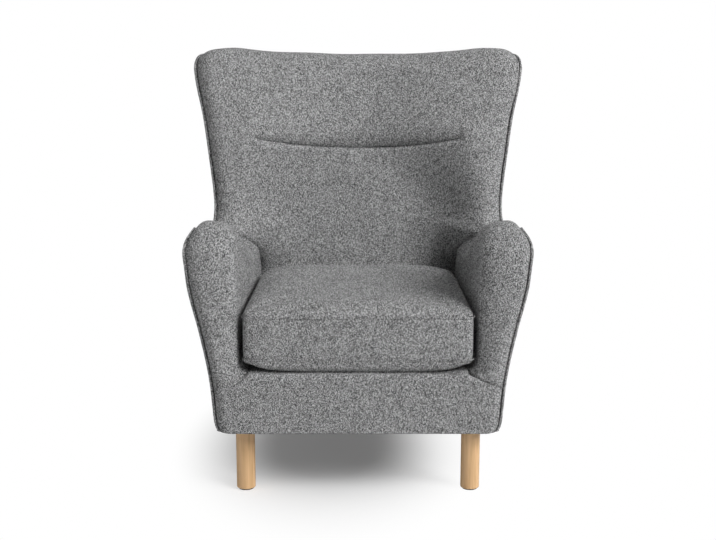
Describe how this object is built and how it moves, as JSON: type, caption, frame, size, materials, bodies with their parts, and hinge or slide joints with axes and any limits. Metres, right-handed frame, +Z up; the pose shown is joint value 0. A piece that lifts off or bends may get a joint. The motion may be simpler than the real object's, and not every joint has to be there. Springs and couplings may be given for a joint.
{
  "type": "upholstered wingback armchair",
  "caption": "Fully upholstered lounge armchair with flared wings, padded curved arms, welted outer edges, a loose box seat cushion and round wooden legs.",
  "frame": {"origin": "on the floor, at the middle of the chair's width and depth", "axes": "+Z up, -Y the way the sitter faces, +X to the right as seen from the front"},
  "size_m": [0.8914, 0.8044, 1.049],
  "materials": {
    "upholstery": "coarse woven wool melange",
    "padding": "foam and wadding",
    "beech": "sawn, unfinished",
    "oak": "clear matt lacquer",
    "spring_steel": "oiled",
    "plated_steel": "zinc plated",
    "jute": "woven webbing",
    "lining": "black spunbond",
    "zip_nylon": "moulded and woven nylon",
    "glide_plastic": "moulded"
  },
  "bodies": {
    "chair": {"arm_cover_left": "upholstery", "outside_panel_left": "upholstery", "welt_left": "upholstery", "arm_foam_left": "padding", "back_post_left": "beech", "arm_rail_left": "beech", "arm_post_left": "beech", "side_rail_left": "beech", "wing_post_left": "beech", "wing_rail_left": "beech", "arm_cover_right": "upholstery", "outside_panel_right": "upholstery", "welt_right": "upholstery", "arm_foam_right": "padding", "back_post_right": "beech", "arm_rail_right": "beech", "arm_post_right": "beech", "side_rail_right": "beech", "wing_post_right": "beech", "wing_rail_right": "beech", "inside_back_cover": "upholstery", "outside_back_panel": "upholstery", "front_border_cover": "upholstery", "back_foam": "padding", "front_border_foam": "padding", "seat_deck_pad": "padding", "front_rail": "beech", "rear_rail": "beech", "back_middle_rail": "beech", "back_top_rail": "beech", "seat_spring_1": "spring_steel", "seat_spring_2": "spring_steel", "seat_spring_3": "spring_steel", "seat_spring_4": "spring_steel", "back_webbing_1": "jute", "back_webbing_2": "jute", "back_webbing_3": "jute", "corner_block_front_left": "beech", "leg_front_left": "oak", "leg_bolt_front_left": "plated_steel", "glide_front_left": "glide_plastic", "corner_block_front_right": "beech", "leg_front_right": "oak", "leg_bolt_front_right": "plated_steel", "glide_front_right": "glide_plastic", "corner_block_rear_left": "beech", "leg_rear_left": "oak", "leg_bolt_rear_left": "plated_steel", "glide_rear_left": "glide_plastic", "corner_block_rear_right": "beech", "leg_rear_right": "oak", "leg_bolt_rear_right": "plated_steel", "glide_rear_right": "glide_plastic", "dust_cover": "lining"},
    "seat_cushion": {"seat_cushion_cover": "upholstery", "seat_cushion_foam": "padding", "cushion_zip": "zip_nylon"},
    "zip_slider": {"zip_slider": "zip_nylon"}
  },
  "joints": [
    {"name": "seat_cushion_lift", "type": "slide", "parent": "chair", "child": "seat_cushion", "axis": [0, 0, 1], "range_m": [0, 0.4]},
    {"name": "zip_slide", "type": "slide", "parent": "seat_cushion", "child": "zip_slider", "axis": [1, 0, 0], "range_m": [0, 0.383]}
  ]
}
